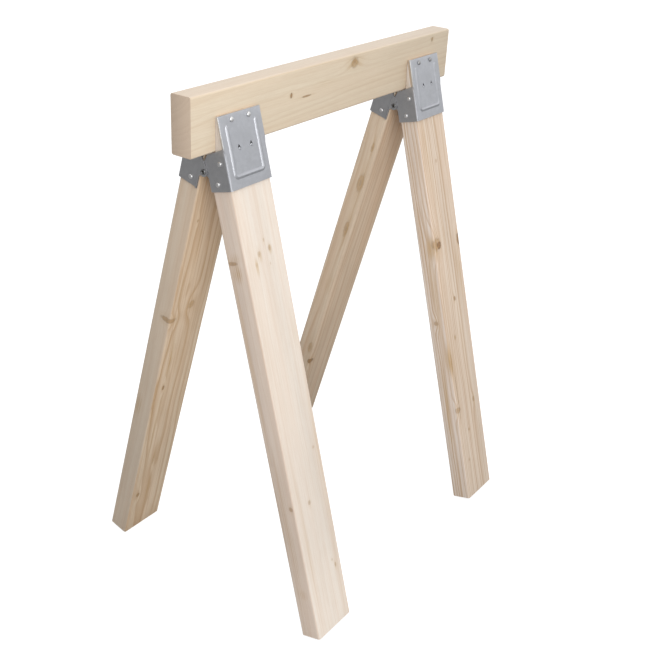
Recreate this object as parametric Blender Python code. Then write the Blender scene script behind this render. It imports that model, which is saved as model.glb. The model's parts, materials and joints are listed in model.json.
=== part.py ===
"""A folding sawhorse: a crossbeam that rests in two hinged sheet-steel brackets, each with two timber legs.

Units are metres and +Z is up. The origin is on the floor under the middle of the crossbeam, which runs
along X. "Near" is the -Y side and "left" is the -X side.

Each leg, its bracket leaf and their nails are modelled once, in the leg's own frame: u runs down the leg from
the hinge axis, v runs outward from that axis to the leg's outer face, and x runs across the leg. An empty on
the hinge axis tilts a copy of them out to the splay angle.
"""

from math import acos, atan2, cos, hypot, pi, radians, sin, sqrt, tan

import bmesh
import bpy
from mathutils import Vector

# Timber: the beam and the legs are sawn from one size of planed board
BOARD_THICK = 0.038
BOARD_WIDTH = 0.089
ARRIS_RADIUS = 0.0035
BEAM_LENGTH = 0.700
LEG_BELOW_HINGE = 0.803

# How the legs stand
SPLAY = radians(15)
LEG_INSET = 0.050
HINGE_BELOW_BEAM = 0.033

# Bracket leaf
SHEET = 0.002
BEND_RADIUS = 0.0025
PLATE_ABOVE_HINGE = 0.077
PLATE_BELOW_HINGE = 0.0315
SADDLE_SLOPE = radians(27.5)
SADDLE_CORNER = 0.005
EAR_RADIUS = 0.0075
EAR_FILLET = 0.004
JOGGLE_LENGTH = 0.002

# Pressed rib on the plate
RIB_WIDTH = 0.0075
RIB_CREST = 0.0026
RIB_HEIGHT = 0.0016
RIB_SPREAD = 0.032
RIB_BELOW_TOP = 0.014
RIB_ABOVE_BOTTOM = 0.0175
RIB_CORNER = 0.005

# Teeth punched from the plate into the leg
TOOTH_SPREAD = 0.0135
TOOTH_BELOW_TOP = 0.0485
TOOTH_WIDTH = 0.0075
TOOTH_HEIGHT = 0.0070
TOOTH_SHEET = 0.0012
TOOTH_DEPTH = 0.006

# Nails and tubular rivets
NAIL_SHANK = 0.0014
NAIL_HEAD = 0.0038
NAIL_DOME = 0.0024
FLANGE_NAIL_LENGTH = 0.025
PLATE_NAIL_SPREAD = 0.019
PLATE_NAIL_BELOW_TOP = 0.0085
PLATE_NAIL_STOP = 0.0015
UPPER_NAIL_ABOVE_HINGE = 0.0096
UPPER_NAIL_FROM_PLATE = 0.0109
LOWER_NAIL_ABOVE_EDGE = 0.0111
LOWER_NAIL_FROM_FACE = 0.0159
RIVET_BORE = 0.0021
RIVET_SHANK = 0.0030
RIVET_HEAD = 0.0045
RIVET_ROLL = 0.0015
RIVET_TAIL = 0.0012
RIVET_ROOM = 0.002

# Clearances
TOUCH = 0.0003
BEAM_PLAY = 0.0005
SEAT_GAP = 0.0015
CENTRE_GAP = 0.001
LEAF_PLAY = 0.0005
HOLE_PLAY = 0.0003
POCKET_PLAY = 0.0004

ARC_STEPS = 5
ROUND_STEPS = 14
ROLL_STEPS = 6
REACH = 0.5

# Worked out from the sizes above
LEG_INNER_FACE = RIVET_HEAD + RIVET_ROOM
HINGE_HEIGHT = LEG_BELOW_HINGE * cos(SPLAY) - LEG_INNER_FACE * sin(SPLAY)
BEAM_BOTTOM = HINGE_HEIGHT + HINGE_BELOW_BEAM
BRACKET_X = BEAM_LENGTH / 2 - LEG_INSET - BOARD_WIDTH / 2
LEG_OUTER_FACE = LEG_INNER_FACE + BOARD_THICK
PLATE_INNER = LEG_OUTER_FACE + LEAF_PLAY
PLATE_OUTER = PLATE_INNER + SHEET
FLANGE_INNER = BOARD_WIDTH / 2 + LEAF_PLAY
FLANGE_OUTER = FLANGE_INNER + SHEET
JOGGLE_STEP = SHEET + TOUCH
JOGGLE_START = EAR_RADIUS + 2 * TOUCH
CHEEK_OUT = BOARD_THICK / 2 + BEAM_PLAY
PLATE_NAIL_U = -PLATE_ABOVE_HINGE + PLATE_NAIL_BELOW_TOP
PLATE_NAIL_TIP = (CHEEK_OUT - PLATE_NAIL_U * sin(SPLAY)) / cos(SPLAY) + PLATE_NAIL_STOP
PLATE_NAIL_LENGTH = PLATE_OUTER + TOUCH - PLATE_NAIL_TIP
TOOTH_U = -PLATE_ABOVE_HINGE + TOOTH_BELOW_TOP
FLANGE_NAILS = {
    "upper": (-UPPER_NAIL_ABOVE_HINGE, LEG_OUTER_FACE - UPPER_NAIL_FROM_PLATE),
    "lower": (PLATE_BELOW_HINGE - LOWER_NAIL_ABOVE_EDGE, LEG_INNER_FACE + LOWER_NAIL_FROM_FACE),
}


def clear_scene():
    for obj in list(bpy.data.objects):
        bpy.data.objects.remove(obj, do_unlink=True)


def make_material(name, colour, roughness, metallic):
    material = bpy.data.materials.new(name)
    material.use_nodes = True
    shader = material.node_tree.nodes["Principled BSDF"]
    shader.inputs["Base Color"].default_value = (*colour, 1)
    shader.inputs["Roughness"].default_value = roughness
    shader.inputs["Metallic"].default_value = metallic
    return material


# Frames and outlines


def in_leg(u, v, x):
    """The point of the leg's frame as the hinge empty's local coordinates."""
    return Vector((x, -v, -u))


def from_upright(out, up):
    """(u, v) of a point `out` from the centre plane and `up` above the hinge, with the leg splayed."""
    return out * sin(SPLAY) - up * cos(SPLAY), out * cos(SPLAY) + up * sin(SPLAY)


def arc(centre, radius, start, end, steps=ARC_STEPS):
    """Points on an arc from one angle to another, both ends included."""
    turns = [start + (end - start) * i / steps for i in range(steps + 1)]
    return [(centre[0] + radius * cos(t), centre[1] + radius * sin(t)) for t in turns]


def sides_of(path, left, right):
    """The two lines that run beside an open path, `left` and `right` of it, with mitred corners."""
    points = [Vector(p) for p in path]
    ways = [(b - a).normalized() for a, b in zip(points, points[1:])]
    found = ([], [])
    for i, point in enumerate(points):
        before, after = ways[max(i - 1, 0)], ways[min(i, len(ways) - 1)]
        mitre = Vector((-before.y - after.y, before.x + after.x)).normalized()
        stretch = mitre.dot(Vector((-after.y, after.x)))
        found[0].append(point + mitre * left / stretch)
        found[1].append(point - mitre * right / stretch)
    return found


# Meshes


def mesh_of(name, bm, smooth=False):
    bmesh.ops.recalc_face_normals(bm, faces=bm.faces)
    mesh = bpy.data.meshes.new(name)
    bm.to_mesh(mesh)
    bm.free()
    if smooth:
        mesh.shade_smooth()
        mesh.set_sharp_from_angle(angle=radians(35))
    return mesh


def prism(name, outline, low, high, place):
    """The outline drawn out from low to high. `place` makes a point of two outline values and a depth."""
    bm = bmesh.new()
    face = bm.faces.new([bm.verts.new(place(a, b, low)) for a, b in outline])
    drawn = bmesh.ops.extrude_face_region(bm, geom=[face])
    for item in drawn["geom"]:
        if isinstance(item, bmesh.types.BMVert):
            item.co += place(0, 0, high) - place(0, 0, low)
    return mesh_of(name, bm)


def turned(name, profile, place, hollow=False):
    """A round solid from (along, radius) points, which end on its axis or, if hollow, close in a loop."""
    bm = bmesh.new()
    rings = []
    for along, radius in profile:
        if radius == 0:
            rings.append([bm.verts.new(place(along, 0, 0))])
            continue
        turns = [2 * pi * i / ROUND_STEPS for i in range(ROUND_STEPS)]
        rings.append([bm.verts.new(place(along, radius * cos(t), radius * sin(t))) for t in turns])
    following = rings[1:] + rings[:1] if hollow else rings[1:]
    for ring, after in zip(rings, following):
        for i in range(ROUND_STEPS):
            j = (i + 1) % ROUND_STEPS
            corners = [ring[i % len(ring)], ring[j % len(ring)], after[j % len(after)], after[i % len(after)]]
            bm.faces.new(list(dict.fromkeys(corners)))
    return mesh_of(name, bm, smooth=True)


def dome(base, radius, height):
    """Profile points of a domed head, from its rim at `base` to its crown."""
    points = [(base + height * (0.25 + 0.75 * sin(t)), radius * cos(t)) for t in (0, pi / 6, pi / 3)]
    return [(base, radius), *points, (base + height, 0)]


def helper(name, mesh):
    """An object that only shapes another one."""
    obj = bpy.data.objects.new(name, mesh)
    bpy.context.scene.collection.objects.link(obj)
    obj.hide_render = True
    obj.display_type = "WIRE"
    return obj


def shaped(name, base, steps):
    """The mesh that is left of base after Boolean steps, each an operation and a mesh."""
    blank = helper(name + "_blank", base)
    for i, (operation, mesh) in enumerate(steps):
        modifier = blank.modifiers.new(f"step_{i}", "BOOLEAN")
        modifier.operation = operation
        modifier.solver = "EXACT"
        modifier.object = helper(f"{name}_tool_{i}", mesh)
    bpy.context.view_layer.update()
    graph = bpy.context.evaluated_depsgraph_get()
    mesh = bpy.data.meshes.new_from_object(blank.evaluated_get(graph))
    for modifier in blank.modifiers:
        bpy.data.objects.remove(modifier.object, do_unlink=True)
    bpy.data.objects.remove(blank, do_unlink=True)
    mesh.name = name
    mesh.shade_smooth()
    mesh.set_sharp_from_angle(angle=radians(25))
    return mesh


def pin(name, radius, low, high, place):
    return turned(name, [(low, 0), (low, radius), (high, radius), (high, 0)], place)


def board_section(thick, width):
    """The rounded rectangle of a planed board, centred on (0, 0)."""
    a, b = thick / 2 - ARRIS_RADIUS, width / 2 - ARRIS_RADIUS
    corners = [(a, b, 0), (-a, b, pi / 2), (-a, -b, pi), (a, -b, 3 * pi / 2)]
    return [p for x, y, t in corners for p in arc((x, y), ARRIS_RADIUS, t, t + pi / 2, 3)]


# Sub-parts


def beam_mesh():
    section = board_section(BOARD_THICK, BOARD_WIDTH)
    return prism("crossbeam", section, -BEAM_LENGTH / 2, BEAM_LENGTH / 2, lambda a, b, d: Vector((d, a, b)))


def leg_mesh():
    """A board with its top sawn to stand beside the beam, and pockets for the teeth and the nails."""
    middle = (LEG_INNER_FACE + LEG_OUTER_FACE) / 2
    board = prism(
        "leg_board",
        board_section(BOARD_THICK, BOARD_WIDTH),
        -PLATE_ABOVE_HINGE,
        LEG_BELOW_HINGE,
        lambda a, b, d: in_leg(d, middle + a, b),
    )
    seat = HINGE_BELOW_BEAM - SEAT_GAP
    beside_beam = [(CHEEK_OUT, REACH), (CHEEK_OUT, seat), (CENTRE_GAP, seat)]
    beside_other_leg = [(CENTRE_GAP, 0), (-REACH, 0), (-REACH, REACH)]
    outline = [from_upright(*point) for point in beside_beam + beside_other_leg]
    steps = [("DIFFERENCE", prism("beam_notch", outline, -BOARD_WIDTH, BOARD_WIDTH, in_leg))]
    for side in (-1, 1):
        steps.append(("DIFFERENCE", plate_nail_hole(side)))
        steps.append(("DIFFERENCE", tooth_pocket(side)))
        for u, v in FLANGE_NAILS.values():
            steps.append(("DIFFERENCE", flange_nail_hole(u, v, side)))
    return shaped("leg", board, steps)


def plate_nail_hole(side):
    x = side * PLATE_NAIL_SPREAD
    deep = PLATE_NAIL_TIP - HOLE_PLAY
    place = lambda d, a, b: in_leg(PLATE_NAIL_U + a, d, x + b)
    return pin("plate_nail_hole", NAIL_SHANK + HOLE_PLAY, deep, PLATE_OUTER + RIB_HEIGHT, place)


def flange_nail_hole(u, v, side):
    deep = FLANGE_OUTER - FLANGE_NAIL_LENGTH - HOLE_PLAY
    place = lambda d, a, b: in_leg(u + a, v + b, side * d)
    return pin("flange_nail_hole", NAIL_SHANK + HOLE_PLAY, deep, FLANGE_OUTER + SHEET, place)


def ear_hole(side):
    place = lambda d, a, b: in_leg(a, b, side * d)
    return pin("ear_hole", RIVET_SHANK + HOLE_PLAY, FLANGE_INNER - SHEET, FLANGE_OUTER + 3 * SHEET, place)


def tooth_hole(side):
    """The triangle that the tooth leaves in the plate, apex up."""
    rise, half, middle = TOOTH_HEIGHT / 2, TOOTH_WIDTH / 2, side * TOOTH_SPREAD
    outline = [(TOOTH_U + rise, middle - half), (TOOTH_U + rise, middle + half), (TOOTH_U - rise, middle)]
    low, high = PLATE_INNER - SHEET, PLATE_OUTER + SHEET
    return prism("tooth_hole", outline, low, high, lambda a, b, d: in_leg(a, d, b))


def tooth_pocket(side):
    """Room in the leg for a tooth, which is bent in along the triangle's base."""
    base = TOOTH_U + TOOTH_HEIGHT / 2
    low, high = base - TOOTH_SHEET - POCKET_PLAY, base + POCKET_PLAY
    half = TOOTH_WIDTH / 2 + POCKET_PLAY
    middle = side * TOOTH_SPREAD
    outline = [(low, middle - half), (high, middle - half), (high, middle + half), (low, middle + half)]
    deep = PLATE_INNER - TOOTH_DEPTH - POCKET_PLAY
    return prism("tooth_pocket", outline, deep, PLATE_INNER, lambda a, b, d: in_leg(a, d, b))


def tooth(side):
    """A pointed tab that stands in from the plate, joined to it along the triangle's base."""
    base = TOOTH_U + TOOTH_HEIGHT / 2
    half = TOOTH_WIDTH / 2
    root = PLATE_INNER + SHEET / 2
    middle = side * TOOTH_SPREAD
    outline = [(root, middle - half), (root, middle + half), (PLATE_INNER - TOOTH_DEPTH, middle)]
    return prism("tooth", outline, base - TOOTH_SHEET, base + TOUCH, lambda a, b, d: in_leg(d, a, b))


def flange_outline():
    """The side view of a leaf's folded part: its flange, with the ear that turns on the rivet."""
    corner_drop = (BOARD_THICK / 2 - SADDLE_CORNER) * tan(SADDLE_SLOPE)
    saddle = HINGE_BELOW_BEAM - TOUCH - corner_drop
    corner = from_upright(SADDLE_CORNER, saddle)
    outer_rise = (BOARD_WIDTH - SADDLE_CORNER) * tan(SADDLE_SLOPE)
    beyond = from_upright(BOARD_WIDTH, saddle + outer_rise)
    level = LEG_INNER_FACE - EAR_FILLET
    fillet = (sqrt((EAR_RADIUS + EAR_FILLET) ** 2 - level**2), level)
    meets = atan2(fillet[1], fillet[0])
    leaves = atan2(corner[1], corner[0]) + acos(EAR_RADIUS / hypot(*corner)) - 2 * pi
    return [
        (PLATE_BELOW_HINGE, beyond[1]),
        (PLATE_BELOW_HINGE, LEG_INNER_FACE),
        *arc(fillet, EAR_FILLET, pi / 2, pi + meets),
        *arc((0, 0), EAR_RADIUS, meets, leaves, 3 * ARC_STEPS)[1:],
        corner,
        beyond,
    ]


def leaf_section():
    """The folded part cut across: the plate between two flanges, the +X one stepped out at its ear."""
    x, v = FLANGE_INNER + SHEET / 2, PLATE_INNER + SHEET / 2
    bend = BEND_RADIUS
    path = [
        (x + JOGGLE_STEP, -2 * EAR_RADIUS),
        (x + JOGGLE_STEP, JOGGLE_START),
        (x, JOGGLE_START + JOGGLE_LENGTH),
        *arc((x - bend, v - bend), bend, 0, pi / 2, 4),
        *arc((bend - x, v - bend), bend, pi / 2, pi, 4),
        (-x, -2 * EAR_RADIUS),
    ]
    left, right = sides_of(path, SHEET / 2, SHEET / 2)
    return [tuple(p) for p in left + right[::-1]]


def rib_mesh():
    """A raised U on the plate, open at the top. Its sides slope from the crest down into the sheet."""
    top = -PLATE_ABOVE_HINGE + RIB_BELOW_TOP
    bottom = PLATE_BELOW_HINGE - RIB_ABOVE_BOTTOM
    turn, spread = RIB_CORNER, RIB_SPREAD
    path = [
        (spread, top),
        *arc((spread - turn, bottom - turn), turn, 0, pi / 2, 4),
        *arc((turn - spread, bottom - turn), turn, pi / 2, pi, 4),
        (-spread, top),
    ]
    foot, crest = PLATE_OUTER - SHEET / 2, PLATE_OUTER + RIB_HEIGHT
    bm = bmesh.new()
    rows = []
    for half, v in ((RIB_WIDTH / 2, foot), (RIB_CREST / 2, crest)):
        left, right = sides_of(path, half, half)
        for line in (left, right):
            rows.append([bm.verts.new(in_leg(p.y, v, p.x)) for p in line])
    loop = [rows[0], rows[1], rows[3], rows[2]]
    for row, after in zip(loop, loop[1:] + loop[:1]):
        for i in range(len(path) - 1):
            bm.faces.new([row[i], row[i + 1], after[i + 1], after[i]])
    for end in (0, -1):
        bm.faces.new([row[end] for row in loop])
    return mesh_of("rib", bm)


def leaf_mesh():
    """One stamping: flat plate above, channel below, rib, two teeth, and holes for the nails and rivets."""
    upright = lambda a, b, d: in_leg(d, b, a)
    folded = prism("leaf_fold", leaf_section(), -PLATE_ABOVE_HINGE, PLATE_BELOW_HINGE, upright)
    side_view = prism("leaf_side", flange_outline(), -BOARD_WIDTH, BOARD_WIDTH, in_leg)
    fold_top = saddle_at_plate()
    flat_half = FLANGE_OUTER - BEND_RADIUS - SHEET / 2
    plate = [
        (-PLATE_ABOVE_HINGE, -FLANGE_OUTER),
        (-PLATE_ABOVE_HINGE, FLANGE_OUTER),
        (fold_top, FLANGE_OUTER),
        (fold_top / 2, flat_half),
        (fold_top / 2, -flat_half),
        (fold_top, -FLANGE_OUTER),
    ]
    flat = prism("leaf_plate", plate, PLATE_INNER, PLATE_OUTER, lambda a, b, d: in_leg(a, d, b))
    steps = [("INTERSECT", side_view), ("UNION", flat), ("UNION", rib_mesh())]
    for side in (-1, 1):
        steps.append(("DIFFERENCE", tooth_hole(side)))
        steps.append(("UNION", tooth(side)))
        steps.append(("DIFFERENCE", plate_nail_hole(side)))
        for u, v in FLANGE_NAILS.values():
            steps.append(("DIFFERENCE", flange_nail_hole(u, v, side)))
        steps.append(("DIFFERENCE", ear_hole(side)))
    return shaped("bracket_leaf", folded, steps)


def saddle_at_plate():
    """u where the flange's upper edge reaches the plate's outer surface."""
    outline = flange_outline()
    (u0, v0), (u1, v1) = outline[-2], outline[-1]
    return u0 + (u1 - u0) * (PLATE_OUTER - v0) / (v1 - v0)


def nail_mesh(name, length):
    """A domed nail along +Z, with the underside of its head at the origin."""
    point = 2 * NAIL_SHANK
    shank = [(-length, 0), (-length, NAIL_SHANK / 3), (point - length, NAIL_SHANK), (0, NAIL_SHANK)]
    return turned(name, shank + dome(0, NAIL_HEAD, NAIL_DOME), lambda d, a, b: Vector((a, b, d)))


def rivet_mesh():
    """A tubular rivet along +Z through both ears. The underside of its rolled head is at the origin."""
    grip = 2 * SHEET + 3 * TOUCH
    tail_end = -grip - RIVET_TAIL
    tail = [(tail_end, RIVET_BORE), (tail_end, 0.8 * RIVET_HEAD), (-grip, RIVET_HEAD)]
    shank = [(-grip, RIVET_SHANK), (0, RIVET_SHANK)]
    crown, half = (RIVET_HEAD + RIVET_BORE) / 2, (RIVET_HEAD - RIVET_BORE) / 2
    turns = [pi * i / ROLL_STEPS for i in range(ROLL_STEPS)]
    roll = [(RIVET_ROLL * sin(t), crown + half * cos(t)) for t in turns]
    return turned("hinge_rivet", tail + shank + roll, lambda d, a, b: Vector((a, b, d)), hollow=True)


# Assembly


def add(name, mesh, material, location=(0, 0, 0), rotation=(0, 0, 0), parent=None):
    obj = bpy.data.objects.new(name, mesh)
    bpy.context.scene.collection.objects.link(obj)
    obj.location = location
    obj.rotation_euler = rotation
    obj.parent = parent
    if not mesh.materials:
        mesh.materials.append(material)
    return obj


def add_hinge(name, side_x, side_y):
    """The empty on the hinge axis that carries one leg, turned out to its splay."""
    hinge = bpy.data.objects.new(name, None)
    bpy.context.scene.collection.objects.link(hinge)
    hinge.location = (side_x * BRACKET_X, 0, HINGE_HEIGHT)
    hinge.rotation_euler = (-SPLAY, 0, 0 if side_y < 0 else pi)
    return hinge


def add_leg_set(place, side_x, side_y, meshes, materials):
    """A leg with its leaf and nails on its hinge. `place` names where it stands, such as near_left."""
    hinge = add_hinge(f"hinge_{place}", side_x, side_y)
    add(f"leg_{place}", meshes["leg"], materials["wood"], parent=hinge)
    add(f"bracket_leaf_{place}", meshes["leaf"], materials["steel"], parent=hinge)
    for side in (-1, 1):
        end = "outer" if -side * side_y == side_x else "inner"
        spot = in_leg(PLATE_NAIL_U, PLATE_OUTER + TOUCH, side * PLATE_NAIL_SPREAD)
        add(f"plate_nail_{place}_{end}", meshes["plate_nail"], materials["zinc"], spot, (pi / 2, 0, 0), hinge)
        for level, (u, v) in FLANGE_NAILS.items():
            name = f"flange_nail_{place}_{level}_{end}"
            spot = in_leg(u, v, side * (FLANGE_OUTER + TOUCH))
            add(name, meshes["flange_nail"], materials["zinc"], spot, (0, side * pi / 2, 0), hinge)


def build():
    clear_scene()
    materials = {
        "wood": make_material("pine", (0.74, 0.60, 0.44), 0.6, 0),
        "steel": make_material("galvanised_steel", (0.52, 0.54, 0.56), 0.38, 1),
        "zinc": make_material("zinc_nail", (0.68, 0.69, 0.70), 0.25, 1),
    }
    meshes = {
        "leg": leg_mesh(),
        "leaf": leaf_mesh(),
        "plate_nail": nail_mesh("plate_nail", PLATE_NAIL_LENGTH),
        "flange_nail": nail_mesh("flange_nail", FLANGE_NAIL_LENGTH),
        "rivet": rivet_mesh(),
    }
    add("crossbeam", beam_mesh(), materials["wood"], (0, 0, BEAM_BOTTOM + BOARD_WIDTH / 2))
    for side_x, hand in ((-1, "left"), (1, "right")):
        for side_y, reach in ((-1, "near"), (1, "far")):
            add_leg_set(f"{reach}_{hand}", side_x, side_y, meshes, materials)
        for face in (-1, 1):
            away = FLANGE_OUTER + JOGGLE_STEP + TOUCH
            spot = (side_x * BRACKET_X + face * away, 0, HINGE_HEIGHT)
            end = "outer" if face == side_x else "inner"
            add(f"hinge_rivet_{hand}_{end}", meshes["rivet"], materials["zinc"], spot, (0, face * pi / 2, 0))


build()
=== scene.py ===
"""The looks of the folding sawhorse: planed spruce boards, galvanised folding brackets, nails and rivets.

Every CAD node is stood for by one finer piece of the same name with _look added. Boards are built in their
own axes, which the wood pattern reads: +X along the grain, +Y through the thickness, +Z across the width.
"""

import json
from math import acos, atan2, cos, hypot, pi, radians, sin, sqrt, tan

import bmesh
import bpy
from mathutils import Euler, Matrix, Vector


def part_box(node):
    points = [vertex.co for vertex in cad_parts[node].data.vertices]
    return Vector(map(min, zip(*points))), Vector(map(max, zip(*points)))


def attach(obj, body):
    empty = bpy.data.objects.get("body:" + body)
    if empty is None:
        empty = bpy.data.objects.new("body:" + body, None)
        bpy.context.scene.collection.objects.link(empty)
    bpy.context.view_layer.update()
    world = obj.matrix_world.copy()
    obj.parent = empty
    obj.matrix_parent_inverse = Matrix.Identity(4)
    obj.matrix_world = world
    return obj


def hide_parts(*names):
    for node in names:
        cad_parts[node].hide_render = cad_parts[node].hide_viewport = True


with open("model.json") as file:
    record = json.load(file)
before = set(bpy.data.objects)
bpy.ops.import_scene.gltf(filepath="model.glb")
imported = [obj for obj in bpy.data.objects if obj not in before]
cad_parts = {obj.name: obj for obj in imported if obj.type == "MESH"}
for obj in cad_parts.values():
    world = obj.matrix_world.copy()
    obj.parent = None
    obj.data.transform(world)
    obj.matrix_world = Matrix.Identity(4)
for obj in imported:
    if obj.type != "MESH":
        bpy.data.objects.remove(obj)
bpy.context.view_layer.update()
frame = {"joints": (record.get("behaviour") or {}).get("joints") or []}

# Sizes, in metres. What the frame can tell is read from it.
beam_low, beam_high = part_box("crossbeam")
BEAM_LENGTH, BOARD_THICK, BOARD_WIDTH = beam_high - beam_low
JOINTS = {joint["name"]: joint for joint in frame["joints"]}
HINGE = Vector(JOINTS["right_fold"]["pos_m"])
HINGE_BELOW_BEAM = beam_low.z - HINGE.z
SPLAY = radians(15)
ARRIS_RADIUS = 0.0035
LEG_INNER_FACE = 0.0065
LEG_BELOW_HINGE = (HINGE.z + LEG_INNER_FACE * sin(SPLAY)) / cos(SPLAY)
LEG_SOFTENING = 0.0004
BEAM_SOFTENING = 0.0005
SHEET = 0.002
BEND_RADIUS = 0.0025
PLATE_ABOVE_HINGE = 0.077
PLATE_BELOW_HINGE = 0.0315
PLATE_ROLL = 0.0011
PLATE_SIDE = 0.0007
LEAF_PLAY = 0.0005
TOUCH = 0.0003
SADDLE_SLOPE = radians(27.5)
SADDLE_CORNER = 0.005
EAR_RADIUS = 0.0075
EAR_FILLET = 0.004
JOGGLE_LENGTH = 0.002
RIB_WIDTH = 0.0075
RIB_HEIGHT = 0.0016
RIB_SPREAD = 0.032
RIB_BELOW_TOP = 0.014
RIB_ABOVE_BOTTOM = 0.0175
RIB_CORNER = 0.005
RIB_RUN_OUT = 0.7 * RIB_WIDTH
RIB_SINK = 0.00005
TOOTH_SPREAD = 0.0135
TOOTH_BELOW_TOP = 0.0485
TOOTH_WIDTH = 0.0075
TOOTH_HEIGHT = 0.0070
TOOTH_SHEET = 0.0012
TOOTH_DEPTH = 0.006
TOOTH_LIP = 0.0024
NAIL_SHANK = 0.0014
NAIL_HEAD = 0.0038
NAIL_DOME = 0.0024
NAIL_LENGTH = 0.025
PLATE_NAIL_DEPTH = 0.0073
PLATE_NAIL_SPREAD = 0.019
PLATE_NAIL_BELOW_TOP = 0.0085
RIVET_BORE = 0.0021
RIVET_SHANK = 0.0030
RIVET_HEAD = 0.0045
RIVET_ROLL = 0.0015
RIVET_TAIL = 0.0012
HOLE_PLAY = 0.0003
BEAM_PLAY = 0.0005
SEAT_GAP = 0.0015
CENTRE_GAP = 0.001

LEG_OUTER_FACE = LEG_INNER_FACE + BOARD_THICK
LEG_MIDDLE = (LEG_INNER_FACE + LEG_OUTER_FACE) / 2
PLATE_INNER = LEG_OUTER_FACE + LEAF_PLAY
PLATE_OUTER = PLATE_INNER + SHEET
FLANGE_INNER = BOARD_WIDTH / 2 + LEAF_PLAY
FLANGE_OUTER = FLANGE_INNER + SHEET
JOGGLE_STEP = SHEET + TOUCH
JOGGLE_START = EAR_RADIUS + 2 * TOUCH
PLATE_NAIL_U = PLATE_NAIL_BELOW_TOP - PLATE_ABOVE_HINGE
TOOTH_U = TOOTH_BELOW_TOP - PLATE_ABOVE_HINGE
FLANGE_NAILS = {"upper": (-0.0096, LEG_OUTER_FACE - 0.0109), "lower": (0.0204, LEG_INNER_FACE + 0.0159)}

PLACES = {"near_left": (-1, -1), "far_left": (-1, 1), "near_right": (1, -1), "far_right": (1, 1)}


# ---- Frames and outlines ----


def hinge_matrix(side_x, side_y):
    """From a leg's own frame, on its hinge, to the model: tilted by the splay, and a far leg turned round."""
    turn = Euler((-SPLAY, 0, 0 if side_y < 0 else pi)).to_matrix().to_4x4()
    return Matrix.Translation((side_x * HINGE.x, 0, HINGE.z)) @ turn


def in_leg(u, v, x):
    """u down the leg from the hinge, v outward, x across, as the leg frame's coordinates."""
    return Vector((x, -v, -u))


def out_of_plate(u, x):
    """Places (depth, a, b) round the outward line through a point of the plate."""
    return lambda depth, a, b: in_leg(u + a, depth, x + b)


def out_of_flange(u, v, side):
    """Places (depth, a, b) round the sideways line through a point of the flange on that side."""
    return lambda depth, a, b: in_leg(u + a, v + b, side * depth)


def along_z(depth, a, b):
    """Places (depth, a, b) round the object's own +Z."""
    return Vector((a, b, depth))


def from_upright(out, up):
    """The (u, v) of a point that lies this far out from the hinge and up from it, with the leg splayed."""
    return out * sin(SPLAY) - up * cos(SPLAY), out * cos(SPLAY) + up * sin(SPLAY)


def arc(centre, radius, start, end, steps):
    turns = [start + (end - start) * i / steps for i in range(steps + 1)]
    return [(centre[0] + radius * cos(t), centre[1] + radius * sin(t)) for t in turns]


def sides_of(path, half):
    """The two lines that run `half` to the left and to the right of an open path."""
    points = [Vector(p) for p in path]
    ways = [(b - a).normalized() for a, b in zip(points, points[1:])]
    found = ([], [])
    for i, point in enumerate(points):
        before, after = ways[max(i - 1, 0)], ways[min(i, len(ways) - 1)]
        mitre = Vector((-before.y - after.y, before.x + after.x)).normalized()
        reach = half / mitre.dot(Vector((-after.y, after.x)))
        found[0].append(point + mitre * reach)
        found[1].append(point - mitre * reach)
    return found


# ---- Mesh tools ----


def mesh_of(name, bm):
    bmesh.ops.recalc_face_normals(bm, faces=bm.faces)
    mesh = bpy.data.meshes.new(name)
    bm.to_mesh(mesh)
    bm.free()
    return mesh


def prism_bm(outline, low, high, place):
    bm = bmesh.new()
    face = bm.faces.new([bm.verts.new(place(a, b, low)) for a, b in outline])
    drawn = bmesh.ops.extrude_face_region(bm, geom=[face])
    shift = place(0, 0, high) - place(0, 0, low)
    for item in drawn["geom"]:
        if isinstance(item, bmesh.types.BMVert):
            item.co += shift
    bmesh.ops.recalc_face_normals(bm, faces=bm.faces)
    return bm


def prism(name, outline, low, high, place):
    return mesh_of(name, prism_bm(outline, low, high, place))


def turned(name, profile, place, hollow=False, steps=32):
    """A round solid from (along, radius) points, which end on its axis or, if hollow, close in a loop."""
    bm = bmesh.new()
    rings = []
    for along, radius in profile:
        if radius == 0:
            rings.append([bm.verts.new(place(along, 0, 0))])
            continue
        turns = [2 * pi * i / steps for i in range(steps)]
        rings.append([bm.verts.new(place(along, radius * cos(t), radius * sin(t))) for t in turns])
    following = rings[1:] + rings[:1] if hollow else rings[1:]
    for ring, after in zip(rings, following):
        for i in range(steps):
            j = (i + 1) % steps
            corners = [ring[i % len(ring)], ring[j % len(ring)], after[j % len(after)], after[i % len(after)]]
            bm.faces.new(list(dict.fromkeys(corners)))
    return mesh_of(name, bm)


def pin(name, radius, low, high, place):
    return turned(name, [(low, 0), (low, radius), (high, radius), (high, 0)], place)


def helper(name, mesh):
    obj = bpy.data.objects.new(name, mesh)
    bpy.context.scene.collection.objects.link(obj)
    return obj


def baked(blank):
    """The mesh that the helper's modifiers leave. The helper and its Boolean tools go."""
    bpy.context.view_layer.update()
    graph = bpy.context.evaluated_depsgraph_get()
    mesh = bpy.data.meshes.new_from_object(blank.evaluated_get(graph))
    for modifier in blank.modifiers:
        if modifier.type == "BOOLEAN":
            bpy.data.objects.remove(modifier.object, do_unlink=True)
    bpy.data.objects.remove(blank, do_unlink=True)
    return mesh


def shaped(name, base, steps, bevel=0.0):
    """The base mesh after each Boolean step in turn, its sharp edges rounded by the bevel."""
    blank = helper(name + "_blank", base)
    for i, (operation, mesh) in enumerate(steps):
        modifier = blank.modifiers.new(f"step_{i}", "BOOLEAN")
        modifier.operation = operation
        modifier.solver = "EXACT"
        modifier.object = helper(f"{name}_tool_{i}", mesh)
    if bevel:
        soften(blank, bevel)
    mesh = baked(blank)
    mesh.name = name
    return mesh


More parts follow.
